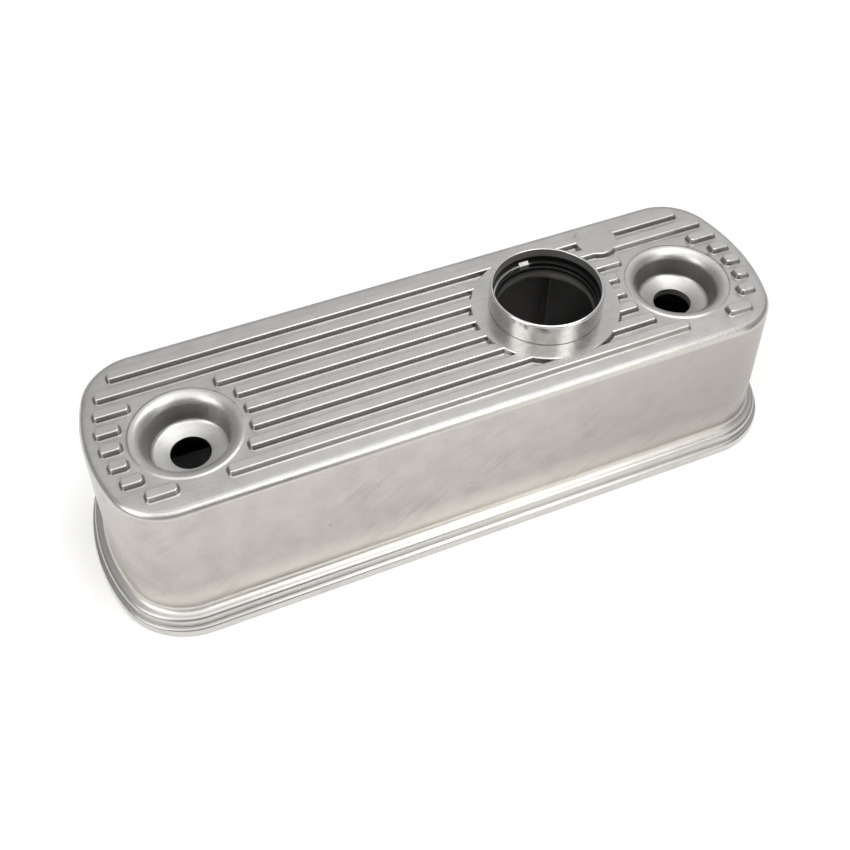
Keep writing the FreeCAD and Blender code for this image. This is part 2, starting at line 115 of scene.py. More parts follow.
# the rest follows from them and from the frame
TOP = casting_high[2]
DECK = TOP - RIB_HEIGHT
ROOF = DECK - ROOF_THICKNESS
HALF_LENGTH = casting_high[0] - LIP_OVERHANG
HALF_WIDTH = casting_high[1] - LIP_OVERHANG
BOW_X = HALF_LENGTH - END_RADIUS
CORNER_Y = HALF_WIDTH - CORNER_RADIUS
CORNER_X = BOW_X + math.sqrt((END_RADIUS - CORNER_RADIUS) ** 2 - CORNER_Y ** 2)
BOW_TURN = math.asin(CORNER_Y / (END_RADIUS - CORNER_RADIUS))
NECK = NECK_X, NECK_Y = (neck_low[:2] + neck_high[:2]) / 2
NECK_RADIUS = (neck_high[0] - neck_low[0]) / 2
THROAT_RADIUS = mounts["neck_throat"]["dims"]["r_mm"]
STUD_RADIUS = mounts["left_stud_hole"]["dims"]["r_mm"]
WELLS = [corner_mm(mounts[name]["pos_m"])[:2] for name in ("left_stud_hole", "right_stud_hole")]
BORE_RADIUS = stop_high[1] - NECK_Y
LEDGE = TOP + LEDGE_HEIGHT
SHELF = stop_low[2]
SPIGOT_BOTTOM = neck_low[2]
SPIGOT_RADIUS = NECK_RADIUS - SPIGOT_STEP
SEAT_OUTER, SEAT_INNER = SPIGOT_RADIUS + SEAT_GAP, SPIGOT_RADIUS - SEAT_LIP
CUP_RADIUS = RIM_RADIUS + CUP_WALL
OUTER_FOOT = (DECK - FLANGE_TOP) * DRAFT
INNER_FOOT = DECK * DRAFT - WALL
INNER_TOP = (DECK - ROOF) * DRAFT - WALL

ARC_STEP = math.radians(12)
SHARP_ANGLE = math.radians(38)

# depths below the neck's mouth where the painted shade in its bore begins and where it is full
BORE_MATT, BORE_SHADED = 3.2, 4.2

# values of the attribute for wear and painted shade: from painted shade on surfaces inside, through
# matt, plain and rubbed edges, to a painted highlight
INSIDE_SHADE, MATT, PLAIN, EDGE, LEDGE_GLEAM = -1.0, 0.1, 0.4, 0.76, 1.0
# how fast wear rises with the turn, in radians, at a point of the outside's profile
WEAR_PER_TURN = 6
# the painted highlight on the edge of the neck's ledge: its middle from the stop, how fast it fades
# and where it ends
GLEAM_TURN, GLEAM_FADE, GLEAM_END = 0.8, 3, 1.6


# ---------------------------------------------------------------- outlines and profiles

def turn_between(start, end):
    """Signed angle from one plane vector to another."""
    cross = start[0] * end[1] - start[1] * end[0]
    return math.atan2(cross, float(np.dot(start, end)))


def rounded(corners, closed=False, step=ARC_STEP):
    """Polyline through (u, v, radius) corners, each rounded to its radius."""
    points = []
    count = len(corners)
    for index, (u, v, radius) in enumerate(corners):
        here = np.array((u, v), float)
        at_end = not closed and index in (0, count - 1)
        if radius == 0 or at_end:
            points.append(here)
            continue
        before = np.array(corners[index - 1][:2], float) - here
        after = np.array(corners[(index + 1) % count][:2], float) - here
        before /= np.linalg.norm(before)
        after /= np.linalg.norm(after)
        half = math.acos(np.clip(np.dot(before, after), -1, 1)) / 2
        bisector = (before + after) / np.linalg.norm(before + after)
        centre = here + bisector * radius / math.sin(half)
        start = here + before * radius / math.tan(half) - centre
        sweep = turn_between(start, here + after * radius / math.tan(half) - centre)
        pieces = max(2, math.ceil(abs(sweep) / step))
        for k in range(pieces + 1):
            angle = sweep * k / pieces
            turned = (start[0] * math.cos(angle) - start[1] * math.sin(angle),
                      start[0] * math.sin(angle) + start[1] * math.cos(angle))
            points.append(centre + turned)
    return np.array(points)


def outline_frame():
    """Points of the cover's plan outline and their outward normals, anticlockwise."""
    points, normals = [], []

    def arc(x, y, radius, start, end, count):
        for angle in np.linspace(start, end, count, endpoint=False):
            normal = (math.cos(angle), math.sin(angle))
            points.append((x + radius * normal[0], y + radius * normal[1]))
            normals.append(normal)

    def straight(y, start, end, count):
        for x in np.linspace(start, end, count, endpoint=False):
            points.append((x, y))
            normals.append((0, math.copysign(1, y)))

    quarter = math.pi / 2
    corner_count, bow_count, side_count = 22, 24, 64
    arc(BOW_X, 0, END_RADIUS, -BOW_TURN, BOW_TURN, bow_count)
    arc(CORNER_X, CORNER_Y, CORNER_RADIUS, BOW_TURN, quarter, corner_count)
    straight(HALF_WIDTH, CORNER_X, -CORNER_X, side_count)
    arc(-CORNER_X, CORNER_Y, CORNER_RADIUS, quarter, 2 * quarter - BOW_TURN, corner_count)
    arc(-BOW_X, 0, END_RADIUS, 2 * quarter - BOW_TURN, 2 * quarter + BOW_TURN, bow_count)
    arc(-CORNER_X, -CORNER_Y, CORNER_RADIUS, 2 * quarter + BOW_TURN, 3 * quarter, corner_count)
    straight(-HALF_WIDTH, -CORNER_X, CORNER_X, side_count)
    arc(CORNER_X, -CORNER_Y, CORNER_RADIUS, 3 * quarter, 4 * quarter - BOW_TURN, corner_count)
    return np.array(points), np.array(normals)


OUTLINE, OUTWARD = outline_frame()


def outline(offset):
    return OUTLINE + OUTWARD * offset


def circle(centre, radius, count):
    angles = np.linspace(0, 2 * math.pi, count, endpoint=False)
    x, y = centre
    return np.column_stack([x + radius * np.cos(angles), y + radius * np.sin(angles)])


# ---------------------------------------------------------------- mesh building

class Shell:
    """Points, faces and one value of wear and painted shade for each point."""

    def __init__(self):
        self.points, self.faces, self.wear, self.count = [], [], [], 0

    def add_points(self, points, wear):
        first = self.count
        self.points.append(np.asarray(points, float))
        self.wear.append(np.broadcast_to(wear, len(points)).astype(float))
        self.count += len(points)
        return first

    def add_rings(self, rings, wear_and_shade_values, closed=False):
        """Quads between following rings that all have the same number of points."""
        size = len(rings[0])
        firsts = [self.add_points(ring, wear) for ring, wear in zip(rings, wear_and_shade_values)]
        pairs = list(zip(firsts, firsts[1:] + firsts[:1]))
        for low, high in pairs if closed else pairs[:-1]:
            for k in range(size):
                following = (k + 1) % size
                self.faces.append((low + k, low + following, high + following, high + k))

    def add_triangles(self, points, triangles, wear):
        first = self.add_points(points, wear)
        self.faces.extend(tuple(first + k for k in triangle) for triangle in triangles)

    def to_object(self, name, material):
        mesh = bpy.data.meshes.new(name)
        points = np.concatenate(self.points) * MM
        mesh.from_pydata(points.tolist(), [], self.faces)
        wear = mesh.attributes.new("wear", "FLOAT", "POINT")
        wear.data.foreach_set("value", np.concatenate(self.wear).astype(np.float32))
        build = bmesh.new()
        build.from_mesh(mesh)
        bmesh.ops.remove_doubles(build, verts=build.verts, dist=2e-6)
        bmesh.ops.dissolve_degenerate(build, edges=build.edges, dist=1e-7)
        bmesh.ops.recalc_face_normals(build, faces=build.faces)
        return finished(build, mesh, material)


def finished(build, mesh, material):
    """Smooth object with sharp creases from a bmesh."""
    for face in build.faces:
        face.smooth = True
    for edge in build.edges:
        edge.smooth = edge.calc_face_angle(0) < SHARP_ANGLE
    build.to_mesh(mesh)
    build.free()
    mesh.materials.append(material)
    piece = bpy.data.objects.new(mesh.name, mesh)
    bpy.context.scene.collection.objects.link(piece)
    normals = piece.modifiers.new("weighted_normals", "WEIGHTED_NORMAL")
    normals.keep_sharp = True
    return piece


def at_height(plane_points, height):
    return np.column_stack([plane_points, np.broadcast_to(height, len(plane_points))])


def outline_rings(profile):
    """Rings round the cover for a profile of (offset from the outline, height)."""
    return [at_height(outline(offset), z) for offset, z in profile]


def lathe_rings(centre, profile, count):
    """Rings round an upright axis for a profile of (radius, height)."""
    return [at_height(circle(centre, radius, count), z) for radius, z in profile]


def triangulate(loops, keep):
    """Constrained triangulation of a plane region; keep() says which triangle centres stay."""
    points, edges = [], []
    for loop, closed in loops:
        first = len(points)
        points.extend(Vector(point) for point in loop)
        edges.extend((first + k, first + k + 1) for k in range(len(loop) - 1))
        if closed:
            edges.append((first + len(loop) - 1, first))
    made = delaunay_2d_cdt(points, edges, [], 0, 1e-4)
    flat = np.array([tuple(point) for point in made[0]])
    triangles = np.array([tuple(face) for face in made[2]])
    centres = flat[triangles].mean(axis=1)
    return flat, triangles[keep(centres)]


# ---------------------------------------------------------------- raised features of the deck

def rib_spans():
    """(start, end, middle) of every rib piece, as in the solid casting."""
    spans = []
    for index in range(RIB_COUNT):
        middle = (index - (RIB_COUNT - 1) / 2) * RIB_PITCH
        outer_y = abs(middle) + RIB_BASE / 2
        if index in (0, RIB_COUNT - 1):
            corner_y = outer_y - CORNER_Y
            reach = CORNER_X + math.sqrt((CORNER_RADIUS - RIB_INSET) ** 2 - corner_y ** 2)
        else:
            reach = BOW_X + math.sqrt((END_RADIUS - RIB_INSET) ** 2 - outer_y ** 2)
        near = max(abs(middle - WELLS[0][1]) - RIB_BASE / 2, 0)
        if near < CLEAR_RADIUS:
            gap = math.sqrt(CLEAR_RADIUS ** 2 - near ** 2)
            spans.append((-reach, WELLS[0][0] - gap, middle))
            spans.append((WELLS[0][0] + gap, WELLS[1][0] - gap, middle))
            spans.append((WELLS[1][0] + gap, reach, middle))
        else:
            spans.append((-reach, reach, middle))
    return spans


RIBS = rib_spans()
SEAT_SEGMENTS, NECK_SEGMENTS, BADGE_SEGMENTS = 144, 180, 60
PADS = [(NECK, PAD_RADIUS, SEAT_SEGMENTS),
        ((BADGE_X, BADGE_Y), BADGE_RADIUS, BADGE_SEGMENTS)]
LONG_STEP = 4.0
BURIED_DEPTH = 2.0


def bar_loop(start, end, middle, grow):
    """Rounded rectangle of a rib grown outwards, with points along its long sides."""
    radius = RIB_CORNER + grow
    half = RIB_BASE / 2 + grow
    low, high = start - grow, end + grow
    points = []
    corners = [(high - radius, middle - half + radius), (high - radius, middle + half - radius),
               (low + radius, middle + half - radius), (low + radius, middle - half + radius)]
    for index, (x, y) in enumerate(corners):
        angles = (index - 1) * math.pi / 2 + np.linspace(0, math.pi / 2, 7)
        arc = np.column_stack([x + radius * np.cos(angles), y + radius * np.sin(angles)])
        points.extend(arc)
        following = corners[(index + 1) % 4]
        length = abs(following[0] - x)
        pieces = max(1, round(length / LONG_STEP)) if index in (1, 3) else 1
        for k in range(1, pieces):
            points.append((arc[-1][0] + (following[0] - x) * k / pieces, arc[-1][1]))
    return np.array(points)


def bar_distance(points, start, end, middle):
    centre = np.array(((start + end) / 2, middle))
    half = np.array(((end - start) / 2 - RIB_CORNER, RIB_BASE / 2 - RIB_CORNER))
    beyond = np.abs(points - centre) - half
    outside = np.linalg.norm(np.maximum(beyond, 0), axis=1)
    return outside + np.minimum(beyond.max(axis=1), 0) - RIB_CORNER


def pad_distance(points, centre, radius):
    return np.linalg.norm(points - np.array(centre), axis=1) - radius


def feature_distances(points):
    rows = [bar_distance(points, *rib) for rib in RIBS]
    rows += [pad_distance(points, centre, radius) for centre, radius, _ in PADS]
    return np.array(rows)


# a rib side in section: distance from the foot of the feature against height above the deck
SIDE = rounded([
    (RIB_FOOT, 0, 0),
    (0, 0, RIB_FOOT_ROUNDING),
    (-RIB_HEIGHT * RIB_SLOPE, RIB_HEIGHT, RIB_EDGE_ROUNDING),
    (-RIB_INNER, RIB_HEIGHT, 0),
], step=math.radians(18))
SIDE_DISTANCE, SIDE_HEIGHT = SIDE[::-1, 0], SIDE[::-1, 1]
COLLAR = [(COLLAR_RADIUS - 0.2, 1.0), (COLLAR_RADIUS, 0.85), (COLLAR_RADIUS + 0.3, 0.45),
          (COLLAR_RADIUS + 0.6, 0.12), (COLLAR_RADIUS + 0.85, 0.0)]
COLLAR_INNER = COLLAR_RADIUS - 0.28
# wear and painted shade against distance from a feature's foot: rubbed edge, painted shade on the
# side and foot, plain deck
RIB_WEAR_AND_SHADE = ([-1.6, -0.95, -0.6, -0.4, -0.2, 0.25, 0.8],
            [0.45, 0.65, 0.85, 0.3, 0.0, 0.0, 0.35])
# least value on the deck in front of the ribs, which limits the painted shade there, and how much
# more painted shade each well gets
MARGIN_SHADE_LIMIT = 0.2
WELL_SHADE = (0.0, 0.11)
WELL_SEGMENTS = 120


def collar_height(points):
    height = np.zeros(len(points))
    for well in WELLS:
        radius = np.linalg.norm(points - well, axis=1)
        share = np.interp(radius, [r for r, _ in COLLAR], [h for _, h in COLLAR])
        height = np.maximum(height, share * COLLAR_HEIGHT)
    return height


def open_runs(points, buried):
    """Splits a closed loop where its points are buried in another feature."""
    if not buried.any():
        return [(points, True)]
    if buried.all():
        return []
    start = int(np.argmax(buried))
    points, buried = np.roll(points, -start, axis=0), np.roll(buried, -start)
    runs, run = [], []
    for point, hidden in zip(points, buried):
        if hidden:
            if len(run) > 1:
                runs.append((np.array(run), False))
            run = []
        else:
            run.append(point)
    if len(run) > 1:
        runs.append((np.array(run), False))
    return runs


def deck_loops():
    loops = []
    for number, rib in enumerate(RIBS):
        for distance in SIDE_DISTANCE[1:-1]:
            loop = bar_loop(*rib, distance)
            others = np.delete(feature_distances(loop), number, axis=0).min(axis=0)
            loops.extend(open_runs(loop, others < -BURIED_DEPTH))
    for number, (centre, radius, count) in enumerate(PADS):
        for distance in SIDE_DISTANCE[1:-1]:
            loop = circle(centre, radius + distance, count)
            others = np.delete(feature_distances(loop), len(RIBS) + number, axis=0).min(axis=0)
            loops.extend(open_runs(loop, others < -BURIED_DEPTH))
    for well in WELLS:
        for radius, _ in COLLAR:
            loops.append((circle(well, radius, WELL_SEGMENTS), True))
    return loops


# ---------------------------------------------------------------- casting

def clear_of_holes(neck_radius, well_radius):
    """Test that keeps the triangle centres outside the neck's and the wells' circles."""
    def keep(centres):
        kept = np.linalg.norm(centres - NECK, axis=1) > neck_radius - TOLERANCE
        for well in WELLS:
            kept &= np.linalg.norm(centres - well, axis=1) > well_radius - TOLERANCE
        return kept
    return keep


def add_outside(shell):
    """Gasket face, lip and step with slightly falling tops, wall and shoulder."""
    profile = rounded([
        (INNER_FOOT + BOTTOM_CHAMFER, 0, 0),
        (LIP_OVERHANG, 0, BOTTOM_CHAMFER),
        (LIP_OVERHANG, LIP_HEIGHT - LIP_FALL, LIP_ROUNDING),
        (STEP_OVERHANG, LIP_HEIGHT, LIP_FALL),
        (STEP_OVERHANG, FLANGE_TOP - STEP_FALL, STEP_ROUNDING),
        (OUTER_FOOT, FLANGE_TOP, FOOT_ROUNDING),
        (0, DECK - SHOULDER_FALL, SHOULDER_ROUNDING),
        (SHOULDER_IN / 2, DECK - CROWN_FALL, CROWN_ROUNDING),
        (SHOULDER_IN, DECK, 0),
    ])
    wear_and_shade_values = [INSIDE_SHADE]
    for before, here, after in zip(profile, profile[1:], profile[2:]):
        turn = turn_between(here - before, after - here)
        wear_and_shade_values.append(PLAIN + (EDGE - PLAIN) * np.clip(turn * WEAR_PER_TURN, 0, 1))
    wear_and_shade_values.append(PLAIN)
    shell.add_rings(outline_rings(profile), wear_and_shade_values)


def add_cavity_wall(shell):
    """Inside of the wall, up to the roof."""
    profile = rounded([
        (INNER_FOOT + BOTTOM_CHAMFER, 0, 0),
        (INNER_FOOT, BOTTOM_CHAMFER, 0),
        (INNER_TOP, ROOF, ROOF_ROUNDING),
        (INNER_TOP - ROOF_MARGIN, ROOF, 0),
    ])
    shell.add_rings(outline_rings(profile), [INSIDE_SHADE] * len(profile))


def add_deck(shell):
    """Deck with its ribs, pads and collars."""
    loops = [(outline(SHOULDER_IN), True), (circle(NECK, SEAT_OUTER, SEAT_SEGMENTS), True)]
    loops += [(circle(well, COLLAR_INNER, WELL_SEGMENTS), True) for well in WELLS]
    loops += deck_loops()
    flat, triangles = triangulate(loops, clear_of_holes(SEAT_OUTER, COLLAR_INNER))
    nearest = feature_distances(flat).min(axis=0)
    rise = np.interp(nearest, SIDE_DISTANCE, SIDE_HEIGHT)
    height = DECK + np.maximum(rise, collar_height(flat))
    # rubbed rib edges and painted shade on the ribs' sides and feet, less of the shade in front of
    # the ribs
    wear = np.interp(nearest, *RIB_WEAR_AND_SHADE)
    front_margin = flat[:, 1] < RIBS[0][2] - RIB_BASE / 4
    wear = np.where(front_margin, np.maximum(wear, MARGIN_SHADE_LIMIT), wear)
    shell.add_triangles(np.column_stack([flat, height]), triangles, wear)


def add_wells(shell):
    """Stud wells: mouth, bowl, dished seat, hole and the cup under the roof."""
    slope = (RIM_RADIUS - SEAT_RADIUS) / (DECK - SEAT_HEIGHT)
    mouth = DECK + COLLAR_HEIGHT
    hole_foot = SEAT_BOTTOM - HOLE_DEPTH
    profile = rounded([
        (COLLAR_INNER, mouth, 0),
        (RIM_RADIUS + COLLAR_HEIGHT * slope, mouth, RIM_ROUNDING),
        (SEAT_RADIUS, SEAT_HEIGHT, CUP_ROUNDING),
        (STUD_RADIUS, SEAT_BOTTOM, SEAT_EDGE),
        (STUD_RADIUS, hole_foot, 0),
        (STUD_RADIUS, CUP_BOTTOM, HOLE_EDGE),
        (SEAT_RADIUS, CUP_BOTTOM, CUP_ROUNDING),
        (CUP_RADIUS, ROOF - ROOF_THICKNESS / 2, CUP_EDGE),
        (CUP_RADIUS, ROOF, ROOF_EDGE),
        (CUP_RADIUS + CUP_MARGIN, ROOF, 0),
    ])
    heights = profile[:, 1]
    # painted shade and highlight against height: seat, foot of the bowl, bowl and mouth; the seat
    # and bowl are painted darker, the rim painted brighter
    well_shade_and_highlight = ([SEAT_BOTTOM, SEAT_HEIGHT + 0.2, SEAT_HEIGHT + 1.2, DECK - 3.5, DECK - 0.6, mouth],
                 [0.2, 0.45, 0.09, 0.11, 0.7, 0.45])
    # painted shade in the bowls, more of it in the second well
    for well, extra_shade in zip(WELLS, WELL_SHADE):
        wear_and_shade_values = np.interp(heights, *well_shade_and_highlight) - extra_shade
        # painted shade down the hole and in the cup under the roof
        wear_and_shade_values[np.argmax(heights < hole_foot + TOLERANCE):] = INSIDE_SHADE
        shell.add_rings(lathe_rings(well, profile, WELL_SEGMENTS), wear_and_shade_values)


def add_neck_seat(shell):
    profile = [
        (SEAT_OUTER, TOP),
        (SEAT_OUTER, SPIGOT_BOTTOM - SEAT_GAP),
        (SEAT_INNER, SPIGOT_BOTTOM - SEAT_GAP),
        (SEAT_INNER, ROOF),
    ]
    shell.add_rings(lathe_rings(NECK, profile, SEAT_SEGMENTS), [PLAIN, INSIDE_SHADE, INSIDE_SHADE, INSIDE_SHADE])


def add_roof(shell):
    """Underside of the roof, between the wall, the wells' cups and the neck's seat."""
    cup_foot = CUP_RADIUS + CUP_MARGIN
    loops = [(outline(INNER_TOP - ROOF_MARGIN), True),
             (circle(NECK, SEAT_INNER, SEAT_SEGMENTS), True)]
    loops += [(circle(well, cup_foot, WELL_SEGMENTS), True) for well in WELLS]
    flat, triangles = triangulate(loops, clear_of_holes(SEAT_INNER, cup_foot))
    shell.add_triangles(at_height(flat, ROOF), triangles, INSIDE_SHADE)


def add_web(shell):
    """Upright web inside the back wall, rooted in the wall and the roof."""
    inner_y = HALF_WIDTH - WALL
    web = rounded([
        (WEB_X - WEB_WIDTH / 2, inner_y + WEB_ROOT, 0),
        (WEB_X - WEB_WIDTH / 2, inner_y - WEB_DEPTH, WEB_ROUNDING),
        (WEB_X + WEB_WIDTH / 2, inner_y - WEB_DEPTH, WEB_ROUNDING),
        (WEB_X + WEB_WIDTH / 2, inner_y + WEB_ROOT, 0),
    ])
    middle = web.mean(axis=0)
    sections = [(FLANGE_TOP, 0.02), (FLANGE_TOP, 0.7), (FLANGE_TOP + 0.3, 1.0),
                (ROOF + 1.0, 1.0), (ROOF + 1.0, 0.02)]
    rings = [at_height(middle + (web - middle) * scale, z) for z, scale in sections]
    shell.add_rings(rings, [INSIDE_SHADE] * len(rings))


def make_casting(material):
    shell = Shell()
    for add_part in (add_outside, add_cavity_wall, add_deck, add_wells,
                     add_neck_seat, add_roof, add_web):
        add_part(shell)
    return shell.to_object("cover_body", material)


# ---------------------------------------------------------------- filler neck

def make_neck(material):
    shell = Shell()
    profile = rounded([
        (THROAT_RADIUS, SPIGOT_BOTTOM, SPIGOT_ROUNDING),
        (SPIGOT_RADIUS, SPIGOT_BOTTOM, SPIGOT_ROUNDING),
        (SPIGOT_RADIUS, TOP + NECK_LIFT, 0),
        (NECK_RADIUS - NECK_CHAMFER, TOP + NECK_LIFT, 0),
        (NECK_RADIUS, TOP + 0.4, 0),
        (NECK_RADIUS, neck_high[2], NECK_ROUNDING),
        (BORE_RADIUS, neck_high[2], BORE_ROUNDING),
        (BORE_RADIUS, neck_high[2] - BORE_MATT, 0),
        (BORE_RADIUS, neck_high[2] - BORE_SHADED, 0),
        (BORE_RADIUS, LEDGE, LEDGE_ROUNDING),
        (LIP_RADIUS, LEDGE, LEDGE_EDGE),
        (LIP_RADIUS, SHELF, LEDGE_ROUNDING),
        (THROAT_RADIUS, SHELF, LEDGE_EDGE),
    ], closed=True)
    angles = np.linspace(0, 2 * math.pi, NECK_SEGMENTS, endpoint=False)
    # painted shade on the ledge, with a painted highlight on its edge beside one stop
    gleam_part = np.clip(np.cos(angles - STOP_ANGLE - GLEAM_TURN) * GLEAM_FADE - GLEAM_END, 0, 1)
    lip_shade_and_gleam = INSIDE_SHADE + (LEDGE_GLEAM - INSIDE_SHADE) * gleam_part
    wear_and_shade_values = []
    edge = LEDGE_EDGE + TOLERANCE
    for radius, z in profile:
        if radius > BORE_RADIUS + TOLERANCE or z < SPIGOT_BOTTOM + 1.5 * SPIGOT_ROUNDING:
            wear_and_shade_values.append(PLAIN)
        elif z > neck_high[2] - (BORE_MATT + BORE_SHADED) / 2:
            wear_and_shade_values.append(MATT)
        elif radius < LIP_RADIUS + edge and LEDGE - edge < z < LEDGE + TOLERANCE:
            wear_and_shade_values.append(lip_shade_and_gleam)
        else:
            wear_and_shade_values.append(INSIDE_SHADE)
    shell.add_rings(lathe_rings(NECK, profile, NECK_SEGMENTS), wear_and_shade_values, closed=True)
    return shell.to_object("neck_ring", material)


def make_stops(material):
    """Two bevelled blocks on the stepped bayonet ledge."""
    inner = THROAT_RADIUS + STOP_INSET
    profile = [(inner, SHELF), (LIP_RADIUS, SHELF), (LIP_RADIUS, LEDGE), (BORE_RADIUS, LEDGE),
               (BORE_RADIUS, stop_high[2]), (inner + STOP_BEVEL, stop_high[2]),
               (inner, stop_high[2] - STOP_BEVEL)]
    build = bmesh.new()
    for index in range(2):
        rows = []
        for turn in np.linspace(-STOP_WIDTH / 2, STOP_WIDTH / 2, 9):
            angle = STOP_ANGLE + math.pi * index + turn
            direction = np.array((math.cos(angle), math.sin(angle)))
            section = []
            for radius, z in profile:
                x, y = NECK + direction * radius
                section.append(build.verts.new((x * MM, y * MM, z * MM)))
            rows.append(section)
        for low, high in zip(rows, rows[1:]):
            for k in range(len(profile)):
                following = (k + 1) % len(profile)
                build.faces.new((low[k], low[following], high[following], high[k]))
        build.faces.new(rows[0])
        build.faces.new(rows[-1])
    bmesh.ops.recalc_face_normals(build, faces=build.faces)
    corners = [edge for edge in build.edges if edge.calc_face_angle(0) > SHARP_ANGLE]
    bmesh.ops.bevel(build, geom=corners, offset=STOP_EDGE * MM, segments=3, profile=0.5,
                    affect="EDGES")
    mesh = bpy.data.meshes.new("bayonet_blocks")
    piece = finished(build, mesh, material)
    wear = mesh.attributes.new("wear", "FLOAT", "POINT")
    wear.data.foreach_set("value", np.full(len(mesh.vertices), MATT, np.float32))
    return piece


# ---------------------------------------------------------------- materials

class Nodes:
    """Short calls for building one material's node tree."""

    def __init__(self, name):
        self.material = bpy.data.materials.new(name)
        self.material.use_nodes = True
        self.tree = self.material.node_tree
        self.shader = self.tree.nodes["Principled BSDF"]

    def add(self, kind, inputs=None, **settings):
        node = self.tree.nodes.new(kind)
        for key, setting in settings.items():
            setattr(node, key, setting)
        for key, source in (inputs or {}).items():
            self.join(source, node.inputs[key])
        return node

    def join(self, source, socket):
        if isinstance(source, bpy.types.NodeSocket):
            self.tree.links.new(source, socket)
        else:
            socket.default_value = source

    def maths(self, operation, *terms, clamp=False):
        node = self.add("ShaderNodeMath", dict(enumerate(terms)), operation=operation)
        node.use_clamp = clamp
        return node.outputs[0]

    def remap(self, source, low, high, to_low=0.0, to_high=1.0):
        inputs = {"Value": source, "From Min": low, "From Max": high,
                  "To Min": to_low, "To Max": to_high}
        return self.add("ShaderNodeMapRange", inputs, clamp=True).outputs[0]

    def mix(self, factor, first, second):
        node = self.add("ShaderNodeMix", data_type="RGBA")
        self.join(factor, node.inputs[0])
        self.join(first, node.inputs[6])
        self.join(second, node.inputs[7])
        return node.outputs[2]

    def noise(self, vector, scale, detail=2.0, rough=0.5):
        inputs = {"Vector": vector, "Scale": scale, "Detail": detail, "Roughness": rough}
        return self.add("ShaderNodeTexNoise", inputs).outputs["Fac"]

    def stretched(self, vector, rotation, scale):
        turned = self.add("ShaderNodeMapping", {"Vector": vector}, vector_type="TEXTURE")
        turned.inputs["Rotation"].default_value = rotation
        inputs = {"Vector": turned.outputs[0], "Scale": scale}
        return self.add("ShaderNodeMapping", inputs).outputs[0]

    def millimetres(self):
        place = self.add("ShaderNodeTexCoord").outputs["Object"]
        inputs = {0: place, 1: (1 / MM,) * 3}
        return self.add("ShaderNodeVectorMath", inputs, operation="MULTIPLY").outputs[0]

    def wear(self):
        return self.add("ShaderNodeAttribute", attribute_name="wear").outputs["Fac"]

    def metal(self, colour, rough, relief):
        """The finished metal, from its colour, roughness and relief in millimetres."""
        bump = self.add("ShaderNodeBump", {"Height": relief, "Strength": 1.0, "Distance": MM})
        self.join(colour, self.shader.inputs["Base Color"])
        self.join(rough, self.shader.inputs["Roughness"])
        self.join(bump.outputs[0], self.shader.inputs["Normal"])
        self.shader.inputs["Metallic"].default_value = 1.0
        return self.material


# linear colours of the metal, clean and marked, and of painted shade, highlights and reflections
CAST_DARK, CAST_LIGHT = (0.50, 0.49, 0.475, 1), (0.57, 0.562, 0.55, 1)
CAST_BRUSHED = (0.36, 0.35, 0.34, 1)
WALL_DARK, WALL_LIGHT = (0.428, 0.391, 0.372, 1), (0.498, 0.459, 0.437, 1)
# the wall's right end in painted shade, and a painted reflection lighter at the wall's foot
WALL_END_SHADE, WALL_FOOT_REFLECTION = (0.32, 0.291, 0.281, 1), (0.78, 0.745, 0.69, 1)
# flange colours are painted light and shade: lighter in the middle and on upright faces, painted
# shade at the ends
FLANGE_MIDDLE_LIT, FLANGE_ENDS_SHADED = (0.58, 0.57, 0.56, 1), (0.33, 0.325, 0.315, 1)
FLANGE_SIDE_LIT = (0.68, 0.665, 0.64, 1)
SMEARED, STREAKED, PITTED = (0.36, 0.325, 0.305, 1), (0.32, 0.29, 0.275, 1), (0.12, 0.11, 0.10, 1)
# rubbed edges, also a painted highlight on the wells' rims; then painted shade on rib sides, in the
# wells and on the front margin
CAST_RUBBED_AND_HIGHLIGHT, CAST_SHADE = (0.64, 0.63, 0.60, 1), (0.20, 0.195, 0.188, 1)
# painted shade inside the cover: near black far from the neck, lighter near it
CAVITY_SHADE_FAR, CAVITY_SHADE_NEAR = (0.012, 0.012, 0.012, 1), (0.28, 0.27, 0.262, 1)
TURNED_DARK, TURNED_LIGHT = (0.60, 0.59, 0.575, 1), (0.68, 0.67, 0.655, 1)
# rings left by the tool, then a painted highlight on part of the ledge's edge
TURNED_RINGS, TURNED_GLEAM = (0.42, 0.41, 0.40, 1), (0.80, 0.79, 0.77, 1)
# painted shade in the neck's bore, throat and ledge
TURNED_SHADE = (0.04, 0.039, 0.038, 1)
FLOOR_DARK, FLOOR_LIGHT = (0.972, 0.972, 0.969, 1), (0.988, 0.988, 0.985, 1)
SCRATCH_TILT = (0, math.radians(-38), 0)


